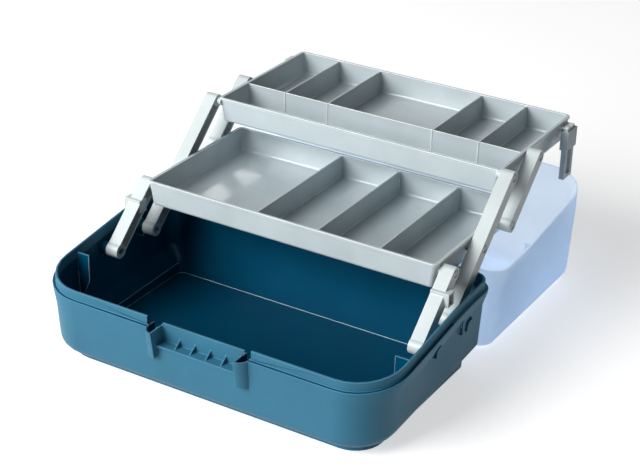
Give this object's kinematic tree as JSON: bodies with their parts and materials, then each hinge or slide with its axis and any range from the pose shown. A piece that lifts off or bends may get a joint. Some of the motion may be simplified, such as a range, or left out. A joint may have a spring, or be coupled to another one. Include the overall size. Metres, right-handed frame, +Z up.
{
  "type": "cantilever tackle box",
  "caption": "Open fishing tackle box: deep tub, lid laid back on its hinge, divided trays raised on swinging cantilever arms, latch and carrying handle.",
  "frame": {"origin": "on the tub's flat foot, straight under the middle of its rim, on the surface the box stands on", "axes": "+X to the box's right seen from its latch side, +Y from the latch side towards the hinge, +Z up"},
  "size_m": [0.35, 0.4248, 0.1664],
  "materials": {
    "base_plastic": "satin teal blue moulded plastic",
    "lid_plastic": "smooth light blue translucent moulded plastic",
    "tray_plastic": "satin light grey moulded plastic",
    "arm_plastic": "satin off-white moulded plastic",
    "leg_plastic": "satin mid grey moulded plastic",
    "pin_steel": "drawn steel wire"
  },
  "bodies": {
    "base": {"base_tub": "base_plastic", "hinge_pin_right": "pin_steel", "hinge_pin_left": "pin_steel"},
    "lid": {"lid_shell": "lid_plastic", "latch_pin": "pin_steel"},
    "latch": {"latch": "base_plastic"},
    "carry_handle": {"carry_handle": "base_plastic"},
    "lower_tray": {"lower_tray": "tray_plastic"},
    "upper_tray": {"upper_tray": "tray_plastic"},
    "front_arm_right": {"front_arm_right": "arm_plastic"},
    "long_arm_right": {"long_arm_right": "arm_plastic"},
    "rear_arm_right": {"rear_arm_right": "arm_plastic"},
    "support_leg_right": {"support_leg_right": "leg_plastic"},
    "front_arm_left": {"front_arm_left": "arm_plastic"},
    "long_arm_left": {"long_arm_left": "arm_plastic"},
    "rear_arm_left": {"rear_arm_left": "arm_plastic"},
    "support_leg_left": {"support_leg_left": "leg_plastic"}
  },
  "joints": [
    {"name": "trays_fold", "type": "hinge", "parent": "base", "child": "long_arm_right", "pos_m": [0, 0.0504, 0.0656], "axis": [1, 0, 0], "range_deg": [0, 111]},
    {"name": "long_arm_left_turn", "type": "hinge", "parent": "base", "child": "long_arm_left", "pos_m": [0, 0.0504, 0.0656], "axis": [1, 0, 0], "range_deg": [0, 111]},
    {"name": "front_arm_right_turn", "type": "hinge", "parent": "base", "child": "front_arm_right", "pos_m": [0, -0.0042, 0.0656], "axis": [1, 0, 0], "range_deg": [0, 111]},
    {"name": "front_arm_left_turn", "type": "hinge", "parent": "base", "child": "front_arm_left", "pos_m": [0, -0.0042, 0.0656], "axis": [1, 0, 0], "range_deg": [0, 111]},
    {"name": "lower_tray_turn", "type": "hinge", "parent": "long_arm_right", "child": "lower_tray", "pos_m": [0, 0.10123, 0.113], "axis": [1, 0, 0], "range_deg": [-111, 0]},
    {"name": "rear_arm_right_turn", "type": "hinge", "parent": "lower_tray", "child": "rear_arm_right", "pos_m": [0, 0.15583, 0.113], "axis": [1, 0, 0], "range_deg": [0, 111]},
    {"name": "rear_arm_left_turn", "type": "hinge", "parent": "lower_tray", "child": "rear_arm_left", "pos_m": [0, 0.15583, 0.113], "axis": [1, 0, 0], "range_deg": [0, 111]},
    {"name": "upper_tray_turn", "type": "hinge", "parent": "long_arm_right", "child": "upper_tray", "pos_m": [0, 0.15206, 0.1604], "axis": [1, 0, 0], "range_deg": [-111, 0]},
    {"name": "lid_hinge", "type": "hinge", "parent": "base", "child": "lid", "pos_m": [0, 0.1044, 0.086], "axis": [1, 0, 0], "range_deg": [0, 180]},
    {"name": "support_leg_right_swing", "type": "hinge", "parent": "upper_tray", "child": "support_leg_right", "pos_m": [0, 0.28716, 0.1539], "axis": [1, 0, 0], "range_deg": [0, 6]},
    {"name": "support_leg_left_swing", "type": "hinge", "parent": "upper_tray", "child": "support_leg_left", "pos_m": [0, 0.28716, 0.1539], "axis": [1, 0, 0], "range_deg": [0, 6]},
    {"name": "latch_turn", "type": "hinge", "parent": "lid", "child": "latch", "pos_m": [0, 0.3124, 0.10027], "axis": [1, 0, 0], "range_deg": [0, 180]},
    {"name": "handle_lift", "type": "hinge", "parent": "lid", "child": "carry_handle", "pos_m": [0, 0.2335, 0.003], "axis": [-1, 0, 0], "range_deg": [0, 90]}
  ],
  "couplings": [
    {"joint": "long_arm_left_turn", "follows": "trays_fold", "ratio": 1},
    {"joint": "front_arm_right_turn", "follows": "trays_fold", "ratio": 1},
    {"joint": "front_arm_left_turn", "follows": "trays_fold", "ratio": 1},
    {"joint": "lower_tray_turn", "follows": "trays_fold", "ratio": -1},
    {"joint": "rear_arm_right_turn", "follows": "trays_fold", "ratio": 1},
    {"joint": "rear_arm_left_turn", "follows": "trays_fold", "ratio": 1},
    {"joint": "upper_tray_turn", "follows": "trays_fold", "ratio": -1},
    {"joint": "lid_hinge", "follows": "trays_fold", "ratio": 1.6216}
  ]
}
